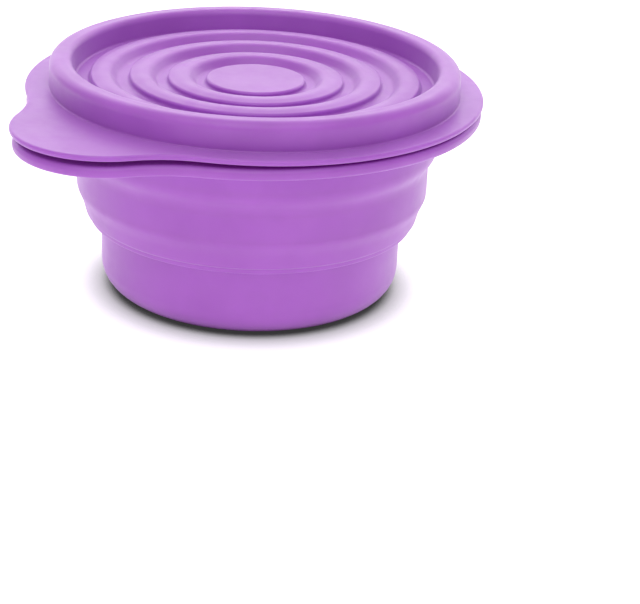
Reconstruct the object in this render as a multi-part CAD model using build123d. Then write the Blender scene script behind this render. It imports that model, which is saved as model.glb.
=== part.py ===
from build123d import *
import math
import os

# Collapsible silicone bowl with a snap-on lid, open and closed.
# Millimetres, +Z up. The origin is the centre of the base's underside.
# The pull tabs point along -Y. r is a distance from the Z axis.

# Levels, from the floor up
BASE_TOP = 21.5
BAND_BOTTOM = 36.2
BAND_TOP = 44.8
NECK_BOTTOM = 53.2
BOWL_BRIM_BOTTOM = 62.6
BOWL_BRIM_THICK = 3.6
BRIM_GAP = 1.0
LID_BRIM_THICK = 1.8
LIP_TOP = 76.2
RING_TOP = 78.2

# Brims and pull tabs, seen from above
BRIM_R = 75.0
BOWL_BRIM_INSET = 0.4
TAB_CENTRE = 64.6
LID_TAB_R = 29.6
BOWL_TAB_R = 28.8
TAB_ROOT_RADIUS = 40.0
LID_EDGE_RADIUS = 0.8
BOWL_EDGE_RADIUS = 1.2

# Bowl wall
WALL = 1.8
FLOOR = 2.2
FOLD_WALL = 1.2
BASE_R = 50.3
BASE_MID_R = 50.2
BASE_CORNER = 8.5
BAND_R = 58.5
BAND_WALL = 1.6
NECK_R = 61.3
NECK_TOP_R = 61.5
NECK_WALL = 1.2
LIP_OUTER_R = 65.2
LIP_WALL = 1.9
UNDER_BRIM_RADIUS = 1.2
INNER_EDGE = 0.4
LIP_ROUND = 0.8

# Lower fold, as (r, z, corner radius): a flank that leans in, then a bead over a small ledge
FLANK_TOP = (BAND_R, 35.2, 4.5)
FLANK_MIDDLE = (56.8, 31.4, 10.0)
CREASE = (55.55, 26.6, 1.2)
BEAD_TOP = (54.6, 26.1, 0.6)
BEAD_BOTTOM = (54.4, 24.5, 0.8)
LEDGE_EDGE = (BASE_R, 23.2, 0.5)
INNER_LEDGE = (BASE_R - WALL + INNER_EDGE, 24.6, 1.0)
INNER_CREASE = (54.3, 27.6, 1.5)
INNER_MIDDLE = (FLANK_MIDDLE[0] - FOLD_WALL, 31.4, 10.0)
INNER_TOP = (BAND_R - FOLD_WALL, 35.0, 4.0)

# Lid
RING_R = 67.2
RING_WALL = 1.7
RING_CREST_INNER_R = 60.0
MOAT_OUTER_R = 59.2
MOAT_INNER_R = 54.3
MOAT_Z = 70.6
CHANNEL_INNER_R = 62.95
CHANNEL_FOOT_R = 61.6
CHANNEL_ROOF = 76.5
PANEL = 1.7
DISC_R = 16.3
DISC_Z = 71.5
RIDGE_SLOPE = 2.6
DOME = 0.8
SHOULDER_DROP = 0.3
RIDGES = [
    # inner r, outer r, top of the dome, floor of the groove inside it
    (22.0, 28.8, 72.6, 69.6),
    (34.8, 41.3, 73.2, 70.0),
    (47.7, 53.9, 73.5, 70.4),
]
CREST_OUTER_ROUND = 2.9
CREST_INNER_ROUND = 2.2
RIDGE_ROUND = 0.9
DOME_ROUND = 6.0
SHOULDER_ROUND = 3.0
GROOVE_ROUND = 0.9
SLOPE_ROUND = 2.0
UNDERSIDE_ROUND = 0.4
UNDERSIDE_SHIFT = 0.7
FOOT_ROUND = 1.0
CHANNEL_ROUND = 0.4

# Construction
PLATE_LAP_R = 70.0
LAP = 1.0
TOLERANCE_MM = 0.01


def turned(face):
    """A face in the XZ plane turned once round the Z axis."""
    return revolve(face, axis=Axis.Z, revolution_arc=360)


def turned_corners(corners):
    """Turn a closed outline of (r, z, corner radius) round the Z axis."""
    points = [(r, 0, z) for r, z, radius in corners]
    radii = [radius for r, z, radius in corners]
    return turned(make_face(FilletPolyline(*points, radius=radii, close=True)))


def curve(*controls):
    """A Bezier curve in the XZ plane through (r, z) control points."""
    return Bezier(*[(r, 0, z) for r, z in controls])


def segment(start, end):
    """A straight line in the XZ plane between two (r, z) points."""
    return Line((start[0], 0, start[1]), (end[0], 0, end[1]))


def triangle_angle(side_a, side_b, opposite):
    """The angle in degrees between two sides of a triangle."""
    cosine = (side_a ** 2 + side_b ** 2 - opposite ** 2) / (2 * side_a * side_b)
    return math.degrees(math.acos(cosine))


def brim_outline(radius, tab_r):
    """A round brim with its round pull tab, joined on each side by a hollow arc."""
    far = radius + TAB_ROOT_RADIUS
    near = tab_r + TAB_ROOT_RADIUS
    turn = triangle_angle(far, TAB_CENTRE, near)
    lean = triangle_angle(near, TAB_CENTRE, far)
    hollow_centre = Vector(0, -far).rotate(Axis.Z, turn)
    hollow = CenterArc(hollow_centre, TAB_ROOT_RADIUS, 90 + turn, 180 - turn - lean)
    round_edge = CenterArc((0, 0), radius, turn - 90, 360 - 2 * turn)
    tab_edge = CenterArc((0, -TAB_CENTRE), tab_r, 90 + lean, 360 - 2 * lean)
    return make_face([round_edge, mirror(hollow, about=Plane.YZ), tab_edge, hollow])


def brim_plate(radius, tab_r, bottom, thickness, edge_radius, hole_r):
    """A flat brim with rounded edges and a round hole."""
    plate = extrude(Pos(0, 0, bottom) * brim_outline(radius, tab_r), thickness)
    level_edges = [e for e in plate.edges() if abs((e @ 0).Z - (e @ 1).Z) < TOLERANCE_MM]
    plate = fillet(level_edges, edge_radius)
    hole = Pos(0, 0, bottom - LAP) * extrude(Circle(hole_r), thickness + 2 * LAP)
    return plate - hole


def base_cup():
    """The stiff bottom cup that the bowl stands on."""
    inner = BASE_R - WALL
    inner_corner = BASE_CORNER - WALL
    return turned_corners([
        (0, 0, 0),
        (BASE_MID_R, 0, BASE_CORNER),
        (BASE_R, BASE_TOP, 0),
        (inner, BASE_TOP, INNER_EDGE),
        (inner, FLOOR, inner_corner),
        (0, FLOOR, 0),
    ])


def lower_fold():
    """The web between base cup and middle band: a leaning flank, a bead and a small ledge."""
    inner_base = INNER_LEDGE[0]
    outer = [(BAND_R, BAND_BOTTOM, 0), FLANK_TOP, FLANK_MIDDLE, CREASE, BEAD_TOP, BEAD_BOTTOM, LEDGE_EDGE]
    base_edge = [(BASE_R, BASE_TOP, 0), (inner_base, BASE_TOP, 0)]
    inner = [INNER_LEDGE, INNER_CREASE, INNER_MIDDLE, INNER_TOP, (INNER_TOP[0], BAND_BOTTOM, 0)]
    return turned_corners(outer + base_edge + inner)


def middle_band():
    """The stiff ring of wall between the two folds."""
    inner = BAND_R - BAND_WALL
    return turned_corners([
        (inner, BAND_BOTTOM, INNER_EDGE),
        (BAND_R, BAND_BOTTOM, 0),
        (BAND_R, BAND_TOP, 0),
        (inner, BAND_TOP, INNER_EDGE),
    ])


def upper_fold():
    """The web between middle band and neck: one soft S-shaped step."""
    middle = (BAND_TOP + NECK_BOTTOM) / 2
    inner_top = NECK_R - NECK_WALL
    inner_bottom = BAND_R - FOLD_WALL
    outer = curve((NECK_R, NECK_BOTTOM), (NECK_R, middle), (BAND_R, middle), (BAND_R, BAND_TOP))
    inner = curve((inner_bottom, BAND_TOP), (inner_bottom, middle), (inner_top, middle),
                  (inner_top, NECK_BOTTOM))
    bottom = segment((BAND_R, BAND_TOP), (inner_bottom, BAND_TOP))
    top = segment((inner_top, NECK_BOTTOM), (NECK_R, NECK_BOTTOM))
    return turned(make_face([outer, bottom, inner, top]))


def bowl_rim():
    """Neck, outward brim with its pull tab, and the upright sealing lip."""
    brim_top = BOWL_BRIM_BOTTOM + BOWL_BRIM_THICK
    inner = NECK_R - NECK_WALL
    lip_inner = LIP_OUTER_R - LIP_WALL
    ring = turned_corners([
        (inner, NECK_BOTTOM, 0),
        (NECK_R, NECK_BOTTOM, 0),
        (NECK_TOP_R, BOWL_BRIM_BOTTOM, UNDER_BRIM_RADIUS),
        (PLATE_LAP_R, BOWL_BRIM_BOTTOM, 0),
        (PLATE_LAP_R, brim_top, 0),
        (LIP_OUTER_R, brim_top, INNER_EDGE),
        (LIP_OUTER_R, LIP_TOP, LIP_ROUND),
        (lip_inner, LIP_TOP, LIP_ROUND),
        (lip_inner, brim_top, INNER_EDGE),
        (inner, brim_top, LIP_ROUND),
    ])
    plate = brim_plate(BRIM_R - BOWL_BRIM_INSET, BOWL_TAB_R, BOWL_BRIM_BOTTOM, BOWL_BRIM_THICK,
                       BOWL_EDGE_RADIUS, LIP_OUTER_R + LAP)
    return ring + plate


def panel_top():
    """The lid's upper face from its centre out to the moat, as (r, z, corner radius)."""
    corners = [(0, DISC_Z, 0), (DISC_R, DISC_Z, RIDGE_ROUND)]
    edge = DISC_R
    for inner, outer, top, floor in RIDGES:
        corners += [(edge, floor, GROOVE_ROUND), (inner - RIDGE_SLOPE, floor, SLOPE_ROUND)]
        corners += [(inner, top - SHOULDER_DROP, SHOULDER_ROUND), ((inner + outer) / 2, top, DOME_ROUND)]
        corners += [(outer, top - DOME, RIDGE_ROUND)]
        edge = outer
    return corners + [(MOAT_INNER_R, MOAT_Z, GROOVE_ROUND), (MOAT_OUTER_R, MOAT_Z, GROOVE_ROUND)]


def panel_underside():
    """The lid's lower face from under the moat back to its centre."""
    corners = []
    outside = MOAT_Z
    for inner, outer, top, floor in reversed(RIDGES):
        roof = top - DOME - PANEL
        corners += [(outer - PANEL, outside - PANEL, UNDERSIDE_ROUND)]
        corners += [(outer - PANEL, roof, UNDERSIDE_ROUND)]
        corners += [(inner + UNDERSIDE_SHIFT, roof, UNDERSIDE_ROUND)]
        corners += [(inner - RIDGE_SLOPE + UNDERSIDE_SHIFT, floor - PANEL, UNDERSIDE_ROUND)]
        outside = floor
    corners += [(DISC_R - PANEL, outside - PANEL, UNDERSIDE_ROUND)]
    corners += [(DISC_R - PANEL, DISC_Z - PANEL, UNDERSIDE_ROUND)]
    return corners + [(0, DISC_Z - PANEL, 0)]


def lid():
    """The whole lid: brim and pull tab, hollow ring, moat, raised rings and centre disc."""
    brim_bottom = BOWL_BRIM_BOTTOM + BOWL_BRIM_THICK + BRIM_GAP
    brim_top = brim_bottom + LID_BRIM_THICK
    channel_outer = RING_R - RING_WALL
    ring = [
        (RING_CREST_INNER_R, RING_TOP, CREST_INNER_ROUND),
        (RING_R, RING_TOP, CREST_OUTER_ROUND),
        (RING_R, brim_top, FOOT_ROUND),
        (PLATE_LAP_R, brim_top, 0),
        (PLATE_LAP_R, brim_bottom, 0),
        (channel_outer, brim_bottom, CHANNEL_ROUND),
        (channel_outer, CHANNEL_ROOF, CHANNEL_ROUND),
        (CHANNEL_INNER_R, CHANNEL_ROOF, CHANNEL_ROUND),
        (CHANNEL_FOOT_R, MOAT_Z - PANEL, UNDERSIDE_ROUND),
    ]
    body = turned_corners(panel_top() + ring + panel_underside())
    plate = brim_plate(BRIM_R, LID_TAB_R, brim_bottom, LID_BRIM_THICK, LID_EDGE_RADIUS,
                       RING_R + LAP)
    return body + plate


def main():
    os.makedirs("parts", exist_ok=True)
    makers = [base_cup, lower_fold, middle_band, upper_fold, bowl_rim, lid]
    for make in makers:
        export_step(make(), f"parts/{make.__name__}.step")


main()
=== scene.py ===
import math

import bpy
from mathutils import Matrix, Vector


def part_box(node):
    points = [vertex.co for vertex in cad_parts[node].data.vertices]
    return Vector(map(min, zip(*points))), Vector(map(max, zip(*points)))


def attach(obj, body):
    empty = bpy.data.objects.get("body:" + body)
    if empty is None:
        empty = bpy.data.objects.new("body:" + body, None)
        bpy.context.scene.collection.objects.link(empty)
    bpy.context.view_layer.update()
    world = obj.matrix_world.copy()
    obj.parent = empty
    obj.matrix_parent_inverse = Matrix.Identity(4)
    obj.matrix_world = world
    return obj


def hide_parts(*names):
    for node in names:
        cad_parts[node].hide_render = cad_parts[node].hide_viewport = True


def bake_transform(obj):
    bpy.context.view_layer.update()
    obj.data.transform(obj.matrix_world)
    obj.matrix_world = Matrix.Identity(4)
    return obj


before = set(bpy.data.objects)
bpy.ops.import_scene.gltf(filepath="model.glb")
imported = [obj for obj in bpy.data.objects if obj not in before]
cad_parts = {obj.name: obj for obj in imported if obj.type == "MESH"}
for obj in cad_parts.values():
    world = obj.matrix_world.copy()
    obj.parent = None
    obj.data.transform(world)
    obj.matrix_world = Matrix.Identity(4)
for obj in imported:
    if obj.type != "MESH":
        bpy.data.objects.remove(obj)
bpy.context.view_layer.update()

# A collapsible silicone bowl with its lid on. Profiles are in millimetres, in the frame's own
# axes: z up from the floor, r out from the bowl's axis, pull tabs along -Y.
MM = 0.001
DEGREE = math.pi / 180
QUARTER_TURN = math.pi / 2


def box_mm(node):
    """A CAD node's lowest and highest corners, in millimetres."""
    low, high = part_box(node)
    return Vector(low) / MM, Vector(high) / MM


_, BASE_HIGH = box_mm("base_cup")
BAND_LOW, BAND_HIGH = box_mm("middle_band")
RIM_LOW, RIM_HIGH = box_mm("bowl_rim")
LID_LOW, LID_HIGH = box_mm("lid")

# Levels
LID_BRIM_THICK = 1.8
BRIM_GAP = 1.0
BOWL_BRIM_THICK = 3.6
BASE_TOP = BASE_HIGH.z
BAND_BOTTOM = BAND_LOW.z
BAND_TOP = BAND_HIGH.z
NECK_BOTTOM = RIM_LOW.z
LIP_TOP = RIM_HIGH.z
RING_TOP = LID_HIGH.z
LID_BRIM_BOTTOM = LID_LOW.z
LID_BRIM_TOP = LID_BRIM_BOTTOM + LID_BRIM_THICK
BOWL_BRIM_TOP = LID_BRIM_BOTTOM - BRIM_GAP
BOWL_BRIM_BOTTOM = BOWL_BRIM_TOP - BOWL_BRIM_THICK

# Brims and pull tabs
LID_BRIM_R = LID_HIGH.x
BOWL_BRIM_R = RIM_HIGH.x
TAB_CENTRE = 64.6
LID_TAB_R = -LID_LOW.y - TAB_CENTRE
BOWL_TAB_R = -RIM_LOW.y - TAB_CENTRE
TAB_ROOT_RADIUS = 40.0
LID_EDGE_RADIUS = 0.8
BOWL_EDGE_RADIUS = 1.2
BOWL_UPPER_EDGE_RADIUS = 1.9
BRIM_FOOT_R = 68.6

# How the soft brims stand out of flat. Each shift fades in over its FADE, outwards from a circle.
LID_LIFT = 0.13
LID_WAVE = 0.12
LID_WAVE_COUNT = 5
LID_WAVE_REACH = 60 * DEGREE
LID_FAR_LIFT = 0.05
LID_FADE = 4.0
TAB_DROOP = -0.95
DROOP_RECOVERY = 1.25
DROOP_REACH = 75 * DEGREE
BOWL_FADE = 5.0

# Bowl wall
WALL = 1.8
FLOOR = 2.2
FOLD_WALL = 1.2
BASE_R = BASE_HIGH.x
BASE_TAPER = 0.1
BASE_CORNER = 8.5
BAND_R = BAND_HIGH.x
BAND_WALL = 1.6
NECK_R = 61.3
NECK_TOP_R = 61.5
NECK_WALL = 1.2
LIP_OUTER_R = 65.2
LIP_WALL = 1.9
INNER_EDGE = 0.4
LIP_ROUND = 0.8
UNDER_BRIM_ROUND = 1.2

# Lower fold, as (r, z, corner radius): a flank that leans in, then a bead over a small ledge
FLANK_TOP = (BAND_R, 35.2, 4.5)
FLANK_MIDDLE = (56.8, 31.4, 10.0)
CREASE = (55.55, 26.6, 1.2)
BEAD_TOP = (54.6, 26.1, 0.6)
BEAD_BOTTOM = (54.4, 24.5, 0.8)
LEDGE_EDGE = (BASE_R, 23.2, 0.5)
INNER_LEDGE = (BASE_R - WALL + INNER_EDGE, 24.6, 1.0)
INNER_CREASE = (54.3, 27.6, 1.5)
INNER_MIDDLE = (FLANK_MIDDLE[0] - FOLD_WALL, 31.4, 10.0)
INNER_TOP = (BAND_R - FOLD_WALL, 35.0, 4.0)

# Lid
RING_R = 67.2
RING_WALL = 1.7
RING_CREST_INNER_R = 60.0
MOAT_OUTER_R = 59.2
MOAT_INNER_R = 54.3
MOAT_Z = 70.6
CHANNEL_INNER_R = 62.95
CHANNEL_FOOT_R = 61.6
CHANNEL_ROOF = 76.5
PANEL = 1.7
DISC_R = 16.3
DISC_Z = 71.5
RIDGE_SLOPE = 2.6
DOME = 0.8
SHOULDER_DROP = 0.3
RIDGES = [
    # inner r, outer r, top of the dome, floor of the groove inside it
    (22.0, 28.8, 72.6, 69.6),
    (34.8, 41.3, 73.2, 70.0),
    (47.7, 53.9, 73.5, 70.4),
]
CREST_OUTER_ROUND = 2.9
CREST_INNER_ROUND = 2.2
RIDGE_ROUND = 0.9
DOME_ROUND = 6.0
SHOULDER_ROUND = 3.0
GROOVE_ROUND = 0.9
SLOPE_ROUND = 2.0
UNDERSIDE_ROUND = 0.4
UNDERSIDE_SHIFT = 0.7
FOOT_ROUND = 0.5
CHANNEL_ROUND = 0.4

# Mesh fineness
ARC_STEP = 10 * DEGREE
FEWEST_ARC_STEPS = 2
HOLD = 0.25
SHORTEST_HELD_RUN = 4 * HOLD
JOIN_GAP = 0.001
ON_AXIS = 1e-6
SHARP_ANGLE = 40 * DEGREE
COLUMNS = 320
OUTLINE_STEP = 1.45
CURVE_STEPS = 14
BRIM_STEPS = 9


# ---------------------------------------------------------------- plane geometry

def corner_arc(before, corner, after, radius):
    """Points of the arc that rounds a corner."""
    corner = Vector(corner)
    back = (Vector(before) - corner).normalized()
    ahead = (Vector(after) - corner).normalized()
    opening = back.angle(ahead)
    tangent = radius / math.tan(opening / 2)
    centre = corner + (back + ahead).normalized() * (radius / math.sin(opening / 2))
    start = corner + back * tangent - centre
    end = corner + ahead * tangent - centre
    sweep = start.angle(end)
    count = max(FEWEST_ARC_STEPS, math.ceil(sweep / ARC_STEP))
    return [centre + arc_between(start, end, sweep, k / count) for k in range(count + 1)]


def arc_between(start, end, sweep, share):
    """A spoke turned a share of the way from one spoke to another."""
    a = math.sin((1 - share) * sweep) / math.sin(sweep)
    b = math.sin(share * sweep) / math.sin(sweep)
    return start * a + end * b


def rounded(corners):
    """Points along an open outline of (x, y, radius) corners, with each straight run held at its ends."""
    points = []
    for i, (x, y, radius) in enumerate(corners):
        if radius and 0 < i < len(corners) - 1:
            points.append(corner_arc(corners[i - 1][:2], (x, y), corners[i + 1][:2], radius))
        else:
            points.append([Vector((x, y))])
    path = list(points[0])
    for group in points[1:]:
        path += held_run(path[-1], group[0])
        path += group
    return path


def held_run(start, end):
    """Two points that hold a straight run flat right up to its ends."""
    run = end - start
    if run.length < SHORTEST_HELD_RUN:
        return []
    step = run.normalized() * HOLD
    return [start + step, end - step]


def bezier(controls):
    """Points along a cubic Bezier curve."""
    a, b, c, d = [Vector(p) for p in controls]
    points = []
    for k in range(CURVE_STEPS + 1):
        t = k / CURVE_STEPS
        s = 1 - t
        points.append(a * s ** 3 + b * 3 * s * s * t + c * 3 * s * t * t + d * t ** 3)
    return points


def joined(*paths):
    """Paths end to end, with the shared end points kept once."""
    whole = list(paths[0])
    for path in paths[1:]:
        whole += path[1:] if (path[0] - whole[-1]).length < JOIN_GAP else path
    return whole


# ---------------------------------------------------------------- brim outline

def triangle_angle(side_a, side_b, opposite):
    """The angle between two sides of a triangle."""
    return math.acos((side_a ** 2 + side_b ** 2 - opposite ** 2) / (2 * side_a * side_b))


def stepped_arc(centre, radius, start, end):
    """Evenly spaced points on an arc, from one direction to another."""
    count = math.ceil(abs(end - start) * radius / OUTLINE_STEP)
    turns = [start + (end - start) * k / count for k in range(count + 1)]
    return [Vector(centre) + radius * Vector((math.cos(t), math.sin(t))) for t in turns]


def half_outline(radius, tab_r):
    """The brim's outline on the +X side: round the tab, through the hollow arc, to the far side."""
    far = radius + TAB_ROOT_RADIUS
    near = tab_r + TAB_ROOT_RADIUS
    turn = triangle_angle(far, TAB_CENTRE, near)
    lean = triangle_angle(near, TAB_CENTRE, far)
    hollow_centre = (far * math.sin(turn), -far * math.cos(turn))
    tab = stepped_arc((0, -TAB_CENTRE), tab_r, -QUARTER_TURN, QUARTER_TURN - lean)
    hollow = stepped_arc(hollow_centre, TAB_ROOT_RADIUS, 3 * QUARTER_TURN - lean, QUARTER_TURN + turn)
    circle = stepped_arc((0, 0), radius, turn - QUARTER_TURN, QUARTER_TURN)
    return joined(tab, hollow, circle)


def brim_outline(radius, tab_r):
    """The whole outline, counter-clockwise from the tab's tip, as points with inward normals."""
    right = half_outline(radius, tab_r)
    left = [Vector((-p.x, p.y)) for p in right[-2:0:-1]]
    points = right + left
    normals = []
    for i, point in enumerate(points):
        along = points[(i + 1) % len(points)] - points[i - 1]
        normals.append(Vector((-along.y, along.x)).normalized())
    return list(zip(points, normals))


# ---------------------------------------------------------------- meshes

def grid_mesh(name, rows, closed):
    """A mesh from rows of points. Rows of one point are poles; the rows close on themselves if asked."""
    verts = []
    index = []
    for row in rows:
        index.append([len(verts) + k for k in range(len(row))])
        verts += [Vector(p) * MM for p in row]
    pairs = list(zip(index, index[1:]))
    if closed:
        pairs.append((index[-1], index[0]))
    faces = []
    for low, high in pairs:
        count = max(len(low), len(high))
        for k in range(count):
            n = (k + 1) % count
            corners = [low[k % len(low)], low[n % len(low)], high[n % len(high)], high[k % len(high)]]
            faces.append(list(dict.fromkeys(corners)))
    mesh = bpy.data.meshes.new(name)
    mesh.from_pydata(verts, [], faces)
    mesh.validate()
    mesh.shade_smooth()
    mesh.set_sharp_from_angle(angle=SHARP_ANGLE)
    obj = bpy.data.objects.new(name, mesh)
    bpy.context.scene.collection.objects.link(obj)
    return obj


def turned(name, path, closed=True):
    """A profile of (r, z) points turned round the Z axis."""
    spokes = [2 * math.pi * k / COLUMNS for k in range(COLUMNS)]
    rows = []
    for r, z in path:
        if r < ON_AXIS:
            rows.append([(0, 0, z)])
        else:
            rows.append([(r * math.cos(a), r * math.sin(a), z) for a in spokes])
    return grid_mesh(name, rows, closed)


def round_rows(path, outline):
    """Rows of a turned stretch of profile, with one point on each of the outline's spokes."""
    rows = []
    for r, z in path:
        if r < ON_AXIS:
            rows.append([Vector((0, 0, z))])
        else:
            rows.append([Vector((*(p.normalized() * r), z)) for p, _ in outline])
    return rows


def brim_rows(outline, foot_r, path):
    """Rows of a brim. The path holds (share of the way out from the foot circle, inset, z)."""
    rows = []
    for share, inset, z in path:
        row = []
        for p, inward in outline:
            edge = p + inward * inset
            flat = (p.normalized() * foot_r).lerp(edge, share)
            row.append(Vector((*flat, z)))
        rows.append(row)
    return rows


def brim_path(top, bottom, upper_radius, lower_radius):
    """Down over a brim's edge: in at the top, round the edge, and back in underneath."""
    path = [(k / BRIM_STEPS, upper_radius + HOLD, top) for k in range(BRIM_STEPS + 1)]
    count = math.ceil(QUARTER_TURN / ARC_STEP)
    turns = [QUARTER_TURN * k / count for k in range(count + 1)]
    for turn in turns:
        drop = upper_radius * (1 - math.cos(turn))
        path.append((1, upper_radius * (1 - math.sin(turn)), top - drop))
    for turn in turns:
        rise = lower_radius * (1 - math.sin(turn))
        path.append((1, lower_radius * (1 - math.cos(turn)), bottom + rise))
    path += [(1 - k / BRIM_STEPS, lower_radius + HOLD, bottom) for k in range(BRIM_STEPS + 1)]
    return path


# ---------------------------------------------------------------- the pieces

def make_base_cup():
    """The stiff bottom cup that the bowl stands on."""
    inner = BASE_R - WALL
    path = rounded([
        (0, 0, 0),
        (BASE_R - BASE_TAPER, 0, BASE_CORNER),
        (BASE_R, BASE_TOP, 0),
        (inner, BASE_TOP, INNER_EDGE),
        (inner, FLOOR, BASE_CORNER - WALL),
        (0, FLOOR, 0),
    ])
    return turned("base_cup_skin", path, closed=False)


def make_lower_fold():
    """The web under the middle band: a leaning flank, a bead, and a small ledge over the base."""
    inner_base = INNER_LEDGE[0]
    outside = [(BAND_R, BAND_BOTTOM, 0), FLANK_TOP, FLANK_MIDDLE, CREASE, BEAD_TOP, BEAD_BOTTOM,
               LEDGE_EDGE, (BASE_R, BASE_TOP, 0)]
    inside = [(inner_base, BASE_TOP, 0), INNER_LEDGE, INNER_CREASE, INNER_MIDDLE, INNER_TOP,
              (INNER_TOP[0], BAND_BOTTOM, 0)]
    return turned("lower_fold_skin", rounded(outside + inside)[::-1])


def make_middle_band():
    """The stiff ring of wall between the two folds."""
    inner = BAND_R - BAND_WALL
    path = rounded([
        (BAND_R, BAND_BOTTOM, 0),
        (BAND_R, BAND_TOP, 0),
        (inner, BAND_TOP, INNER_EDGE),
        (inner, BAND_BOTTOM, INNER_EDGE),
        (BAND_R, BAND_BOTTOM, 0),
    ])
    return turned("middle_band_skin", path[:-1])


def make_upper_fold():
    """The web under the neck: one soft S-shaped step."""
    middle = (BAND_TOP + NECK_BOTTOM) / 2
    inner_top = NECK_R - NECK_WALL
    inner_bottom = BAND_R - FOLD_WALL
    outside = bezier([(BAND_R, BAND_TOP), (BAND_R, middle), (NECK_R, middle), (NECK_R, NECK_BOTTOM)])
    inside = bezier([(inner_top, NECK_BOTTOM), (inner_top, middle), (inner_bottom, middle),
                     (inner_bottom, BAND_TOP)])
    return turned("upper_fold_skin", outside + inside)


def make_bowl_rim():
    """Neck, brim with its pull tab, and the upright sealing lip."""
    outline = brim_outline(BOWL_BRIM_R, BOWL_TAB_R)
    inner = NECK_R - NECK_WALL
    lip_inner = LIP_OUTER_R - LIP_WALL
    above = rounded([
        (BRIM_FOOT_R, BOWL_BRIM_TOP, 0),
        (LIP_OUTER_R, BOWL_BRIM_TOP, INNER_EDGE),
        (LIP_OUTER_R, LIP_TOP, LIP_ROUND),
        (lip_inner, LIP_TOP, LIP_ROUND),
        (lip_inner, BOWL_BRIM_TOP, INNER_EDGE),
        (inner, BOWL_BRIM_TOP, LIP_ROUND),
        (inner, NECK_BOTTOM, 0),
        (NECK_R, NECK_BOTTOM, 0),
        (NECK_TOP_R, BOWL_BRIM_BOTTOM, UNDER_BRIM_ROUND),
        (BRIM_FOOT_R, BOWL_BRIM_BOTTOM, 0),
    ])
    edge = brim_path(BOWL_BRIM_TOP, BOWL_BRIM_BOTTOM, BOWL_UPPER_EDGE_RADIUS, BOWL_EDGE_RADIUS)
    rows = brim_rows(outline, BRIM_FOOT_R, edge)
    rows += round_rows(above[::-1][1:-1], outline)
    shift_brim(rows, LIP_OUTER_R, bowl_brim_rise)
    return grid_mesh("bowl_rim_skin", rows, closed=True)


def lid_top():
    """The lid's upper profile from its centre out to the brim's foot."""
    corners = [(0, DISC_Z, 0), (DISC_R, DISC_Z, RIDGE_ROUND)]
    edge = DISC_R
    for inner, outer, top, floor in RIDGES:
        corners += [(edge, floor, GROOVE_ROUND), (inner - RIDGE_SLOPE, floor, SLOPE_ROUND)]
        corners += [(inner, top - SHOULDER_DROP, SHOULDER_ROUND), ((inner + outer) / 2, top, DOME_ROUND)]
        corners += [(outer, top - DOME, RIDGE_ROUND)]
        edge = outer
    corners += [
        (MOAT_INNER_R, MOAT_Z, GROOVE_ROUND),
        (MOAT_OUTER_R, MOAT_Z, GROOVE_ROUND),
        (RING_CREST_INNER_R, RING_TOP, CREST_INNER_ROUND),
        (RING_R, RING_TOP, CREST_OUTER_ROUND),
        (RING_R, LID_BRIM_TOP, FOOT_ROUND),
        (BRIM_FOOT_R, LID_BRIM_TOP, 0),
    ]
    return rounded(corners)


def lid_underside():
    """The lid's lower profile from the brim's foot back to its centre."""
    channel_outer = RING_R - RING_WALL
    corners = [
        (BRIM_FOOT_R, LID_BRIM_BOTTOM, 0),
        (channel_outer, LID_BRIM_BOTTOM, CHANNEL_ROUND),
        (channel_outer, CHANNEL_ROOF, CHANNEL_ROUND),
        (CHANNEL_INNER_R, CHANNEL_ROOF, CHANNEL_ROUND),
        (CHANNEL_FOOT_R, MOAT_Z - PANEL, UNDERSIDE_ROUND),
    ]
    outside = MOAT_Z
    for inner, outer, top, floor in reversed(RIDGES):
        roof = top - DOME - PANEL
        corners += [
            (outer - PANEL, outside - PANEL, UNDERSIDE_ROUND),
            (outer - PANEL, roof, UNDERSIDE_ROUND),
            (inner + UNDERSIDE_SHIFT, roof, UNDERSIDE_ROUND),
            (inner - RIDGE_SLOPE + UNDERSIDE_SHIFT, floor - PANEL, UNDERSIDE_ROUND),
        ]
        outside = floor
    corners += [
        (DISC_R - PANEL, outside - PANEL, UNDERSIDE_ROUND),
        (DISC_R - PANEL, DISC_Z - PANEL, UNDERSIDE_ROUND),
        (0, DISC_Z - PANEL, 0),
    ]
    return rounded(corners)


def lid_brim_rise(turn, out):
    """How far the lid's soft brim stands off its flat plane, waving a little near the tab."""
    wave = math.cos(LID_WAVE_COUNT * turn) * math.exp(-(turn / LID_WAVE_REACH) ** 2)
    height = LID_LIFT - LID_WAVE * wave + LID_FAR_LIFT * (1 - math.cos(turn))
    return height * (1 - math.exp(-out / LID_FADE))


def bowl_brim_rise(turn, out):
    """How far the bowl's soft brim stands off its flat plane: it droops at the tab."""
    share = min(abs(turn) / DROOP_REACH, 1)
    smooth = share * share * (3 - 2 * share)
    return (TAB_DROOP + DROOP_RECOVERY * smooth) * (1 - math.exp(-out / BOWL_FADE))


def shift_brim(rows, foot_r, rise):
    """Raises or lowers the points outside a circle by a rule of direction and distance."""
    for row in rows:
        for point in row:
            out = math.hypot(point.x, point.y) - foot_r
            if out > 0:
                point.z += rise(math.atan2(point.x, -point.y), out)


def make_lid():
    """The whole lid, with its brim a little out of flat."""
    outline = brim_outline(LID_BRIM_R, LID_TAB_R)
    rows = round_rows(lid_top()[:-1], outline)
    edge = brim_path(LID_BRIM_TOP, LID_BRIM_BOTTOM, LID_EDGE_RADIUS, LID_EDGE_RADIUS)
    rows += brim_rows(outline, BRIM_FOOT_R, edge)
    rows += round_rows(lid_underside()[1:], outline)
    shift_brim(rows, RING_R, lid_brim_rise)
    return grid_mesh("lid_skin", rows, closed=False)


# ---------------------------------------------------------------- material

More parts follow.
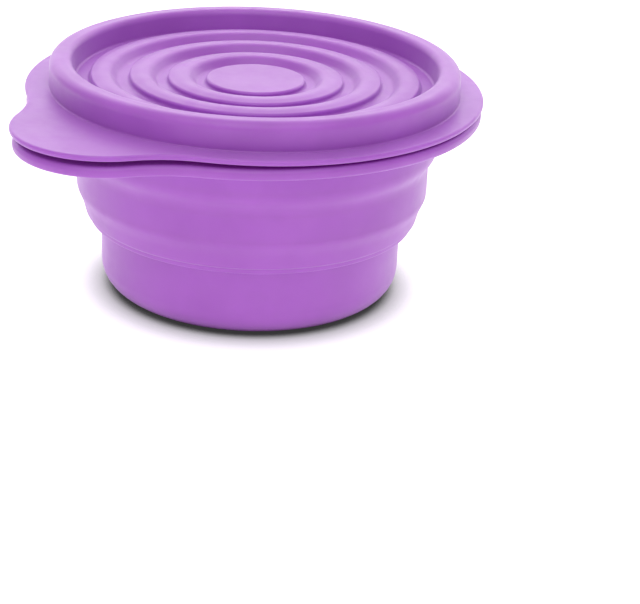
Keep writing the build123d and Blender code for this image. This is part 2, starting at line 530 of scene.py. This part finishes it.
BOWL_LIGHT = (0.37, 0.096, 0.515, 1.0)
BOWL_DEEP = (0.335, 0.082, 0.47, 1.0)
LID_LIGHT = (0.375, 0.099, 0.525, 1.0)
LID_DEEP = (0.34, 0.085, 0.48, 1.0)
# Painted shade: the dark violet laid into crevices and narrow gaps, where shade falls
PAINTED_CREVICE_SHADE = (0.15, 0.002, 0.21, 1.0)
WHITE = (1, 1, 1, 1)

# Lengths in metres, and noise scales per metre
SATIN = {
    "IOR": 1.5,
    "Subsurface Weight": 0.35,
    "Subsurface Radius": (1.0, 0.45, 1.2),
    "Subsurface Scale": 0.0022,
    "Sheen Roughness": 0.45,
    "Sheen Tint": (0.95, 0.85, 1.0, 1.0),
}
MOTTLE = {"Scale": 38.0, "Detail": 3.0, "Roughness": 0.55}
MOTTLE_SPAN = (0.36, 0.66)
FILM = {"Scale": 160.0, "Detail": 4.0, "Roughness": 0.6}
FILM_SPAN = (0.3, 0.7)
ROUGHNESS_SPAN = (0.36, 0.48)
GRAIN = {"Scale": 2600.0, "Detail": 2.0, "Roughness": 0.5}
GRAIN_BUMP = {"Strength": 0.12, "Distance": 0.00005}
# Painted shade in crevices: the occlusion probe's reach and samples, the span of openness it acts over,
# and how far specular and sheen fade there
PAINTED_SHADE_REACH = 0.005
PAINTED_SHADE_SAMPLES = 6
PAINTED_SHADE_SPAN = (0.12, 0.52)
SPECULAR_SPAN = (0.0, 0.5)
SHEEN_SPAN = (0.0, 0.28)


def node(tree, kind, values):
    """A new shader node with its inputs set by name."""
    made = tree.nodes.new(kind)
    set_inputs(made, values)
    return made


def set_inputs(made, values):
    """Sets a shader node's inputs by name."""
    for name, value in values.items():
        made.inputs[name].default_value = value


def noise(tree, place, values):
    """Noise in a piece's own space."""
    made = node(tree, "ShaderNodeTexNoise", values)
    tree.links.new(place, made.inputs["Vector"])
    return made.outputs["Fac"]


def remap(tree, source, span, result):
    """A value carried from one span to another."""
    ends = {"From Min": span[0], "From Max": span[1], "To Min": result[0], "To Max": result[1]}
    made = node(tree, "ShaderNodeMapRange", ends)
    tree.links.new(source, made.inputs["Value"])
    return made.outputs["Result"]


def new_material(name):
    """A material with its node tree and its main shader."""
    material = bpy.data.materials.new(name)
    material.use_nodes = True
    return material, material.node_tree, material.node_tree.nodes["Principled BSDF"]


def silicone(name, light, deep):
    """Satin moulded silicone: slight mottling, painted shade in crevices (darker colour, less specular
    and sheen), fine grain, soft uneven gloss.
    """
    material, tree, shader = new_material(name)
    link = tree.links.new
    set_inputs(shader, SATIN)
    place = tree.nodes.new("ShaderNodeTexCoord").outputs["Object"]

    tone = tree.nodes.new("ShaderNodeValToRGB")
    for element, position, colour in zip(tone.color_ramp.elements, MOTTLE_SPAN, (deep, light)):
        element.position = position
        element.color = colour
    link(noise(tree, place, MOTTLE), tone.inputs["Fac"])

    # Painted shade: in crevices the colour darkens and specular and sheen fade, standing in for the shade
    # that falls there
    crevice_shade_probe = node(tree, "ShaderNodeAmbientOcclusion", {"Distance": PAINTED_SHADE_REACH})
    crevice_shade_probe.samples = PAINTED_SHADE_SAMPLES
    openness = crevice_shade_probe.outputs["AO"]
    link(remap(tree, openness, PAINTED_SHADE_SPAN, SPECULAR_SPAN), shader.inputs["Specular IOR Level"])
    link(remap(tree, openness, PAINTED_SHADE_SPAN, SHEEN_SPAN), shader.inputs["Sheen Weight"])
    painted_shade = tree.nodes.new("ShaderNodeMix")
    painted_shade.data_type = "RGBA"
    painted_shade.inputs["B"].default_value = PAINTED_CREVICE_SHADE
    link(remap(tree, openness, PAINTED_SHADE_SPAN, (1.0, 0.0)), painted_shade.inputs["Factor"])
    link(tone.outputs["Color"], painted_shade.inputs["A"])
    link(painted_shade.outputs["Result"], shader.inputs["Base Color"])

    film = noise(tree, place, FILM)
    link(remap(tree, film, FILM_SPAN, ROUGHNESS_SPAN), shader.inputs["Roughness"])

    bump = node(tree, "ShaderNodeBump", GRAIN_BUMP)
    link(noise(tree, place, GRAIN), bump.inputs["Height"])
    link(bump.outputs["Normal"], shader.inputs["Normal"])
    return material


def finish_piece(obj, material, body, cad_node):
    """Gives a piece its material and its body, and hides the CAD node that it stands for."""
    obj.data.materials.append(material)
    if body:
        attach(obj, body)
    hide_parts(cad_node)


# ---------------------------------------------------------------- stage

# The camera, in millimetres, as it stands before it is turned round the bowl
CAMERA_TURN = 44 * DEGREE
CAMERA_AT = Vector((1.3, -596.8, 253.8))
CAMERA_PITCH = 23.673 * DEGREE
CAMERA_YAW = 2.249 * DEGREE
CAMERA_ROLL = 2.842 * DEGREE
CAMERA_LENS = 106.1
CAMERA_SENSOR = 36

# How near and far the camera sees, the floor and the lights, in metres
CAMERA_NEAR = 0.01
CAMERA_FAR = 50
FLOOR_REACH = 4.0
FLOOR_SATIN = {"Roughness": 0.9, "Specular IOR Level": 0.1, "Emission Color": WHITE}
FLOOR_LEVEL = 0.66
SHADOW_REACH = 0.019
SHADOW_SPAN = (0.27, 0.84)
SHADOW_DEPTH = (0.04, 1.0)
ROOM_LIGHT = 0.54
PANEL_LIGHT = 9.5
PANEL_WIDTH = 2.2
PANEL_HEIGHT = 1.0
PANEL_DISTANCE = 0.95
PANEL_LEVEL = 0.58
PANEL_AIM = 0.06
KEY_LIGHT = 0.60
KEY_HEIGHT = 55 * DEGREE
FILL_LIGHT = 1.25
FILL_HEIGHT = 57 * DEGREE
SUN_SPREAD = 60 * DEGREE


def make_camera():
    """A long lens that looks down a little, turned round the bowl from the tab's side."""
    ahead = Vector((math.sin(CAMERA_YAW) * math.cos(CAMERA_PITCH),
                    math.cos(CAMERA_YAW) * math.cos(CAMERA_PITCH), -math.sin(CAMERA_PITCH)))
    level = Vector((math.cos(CAMERA_YAW), -math.sin(CAMERA_YAW), 0))
    above = level.cross(ahead)
    right = level * math.cos(CAMERA_ROLL) + above * math.sin(CAMERA_ROLL)
    up = above * math.cos(CAMERA_ROLL) - level * math.sin(CAMERA_ROLL)
    facing = Matrix((right, up, -ahead)).transposed().to_4x4()
    data = bpy.data.cameras.new("camera")
    data.lens = CAMERA_LENS
    data.sensor_width = CAMERA_SENSOR
    data.clip_start = CAMERA_NEAR
    data.clip_end = CAMERA_FAR
    camera = bpy.data.objects.new("camera", data)
    bpy.context.scene.collection.objects.link(camera)
    turn = Matrix.Rotation(CAMERA_TURN, 4, "Z")
    camera.matrix_world = turn @ Matrix.Translation(CAMERA_AT * MM) @ facing
    bpy.context.scene.camera = camera


def floor_material():
    """Plain white that glows a little, with its shadow gathered close under whatever stands on it."""
    material, tree, shader = new_material("floor_white")
    set_inputs(shader, FLOOR_SATIN)
    cover = node(tree, "ShaderNodeAmbientOcclusion", {"Distance": SHADOW_REACH})
    painted_shade = remap(tree, cover.outputs["AO"], SHADOW_SPAN, SHADOW_DEPTH)
    for target in ("Base Color", "Emission Strength"):
        shade = node(tree, "ShaderNodeMix", {"A": 0.0, "B": FLOOR_LEVEL})
        tree.links.new(painted_shade, shade.inputs["Factor"])
        tree.links.new(shade.outputs["Result"], shader.inputs[target])
    return material


def make_floor():
    """A wide, plain white floor."""
    sides = [(-1, -1), (1, -1), (1, 1), (-1, 1)]
    corners = [(FLOOR_REACH * x, FLOOR_REACH * y, 0) for x, y in sides]
    mesh = bpy.data.meshes.new("floor")
    mesh.from_pydata(corners, [], [(0, 1, 2, 3)])
    mesh.materials.append(floor_material())
    floor = bpy.data.objects.new("floor", mesh)
    bpy.context.scene.collection.objects.link(floor)


def back_panel():
    """A soft lit panel that stands beyond the bowl and faces it."""
    data = bpy.data.lights.new("back_panel", "AREA")
    data.shape = "RECTANGLE"
    data.size = PANEL_WIDTH
    data.size_y = PANEL_HEIGHT
    data.energy = PANEL_LIGHT
    lamp = bpy.data.objects.new("back_panel", data)
    beyond = Matrix.Rotation(CAMERA_TURN, 3, "Z") @ Vector((0, PANEL_DISTANCE, 0))
    place = beyond + Vector((0, 0, PANEL_LEVEL))
    facing = (place - Vector((0, 0, PANEL_AIM))).to_track_quat("Z", "Y")
    lamp.matrix_world = Matrix.Translation(place) @ facing.to_matrix().to_4x4()
    bpy.context.scene.collection.objects.link(lamp)


def soft_sun(name, energy, turn, height, shadow):
    """A wide, even light from one direction: turned round from the camera's side, at a height angle."""
    data = bpy.data.lights.new(name, "SUN")
    data.energy = energy
    data.angle = SUN_SPREAD
    data.use_shadow = shadow
    lamp = bpy.data.objects.new(name, data)
    tilt = Matrix.Rotation(QUARTER_TURN - height, 4, "X")
    lamp.matrix_world = Matrix.Rotation(CAMERA_TURN + turn, 4, "Z") @ tilt
    bpy.context.scene.collection.objects.link(lamp)


def make_lights():
    """An even white room, a panel and a soft key beyond the bowl, and a fill from the camera's side."""
    world = bpy.data.worlds.new("studio")
    world.use_nodes = True
    set_inputs(world.node_tree.nodes["Background"], {"Color": WHITE, "Strength": ROOM_LIGHT})
    bpy.context.scene.world = world
    back_panel()
    soft_sun("key", KEY_LIGHT, 2 * QUARTER_TURN, KEY_HEIGHT, True)
    soft_sun("fill", FILL_LIGHT, 0, FILL_HEIGHT, False)


# ---------------------------------------------------------------- assembly

make_camera()
make_floor()
make_lights()
bpy.context.scene.view_settings.view_transform = "Standard"

BOWL = silicone("bowl_silicone", BOWL_LIGHT, BOWL_DEEP)
LID = silicone("lid_silicone", LID_LIGHT, LID_DEEP)

finish_piece(make_base_cup(), BOWL, "base", "base_cup")
finish_piece(make_middle_band(), BOWL, "band", "middle_band")
finish_piece(make_bowl_rim(), BOWL, "rim", "bowl_rim")
finish_piece(make_lid(), LID, "lid", "lid")

lower = make_lower_fold()
finish_piece(lower, BOWL, None, "lower_fold")
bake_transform(lower)

upper = make_upper_fold()
finish_piece(upper, BOWL, None, "upper_fold")
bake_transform(upper)
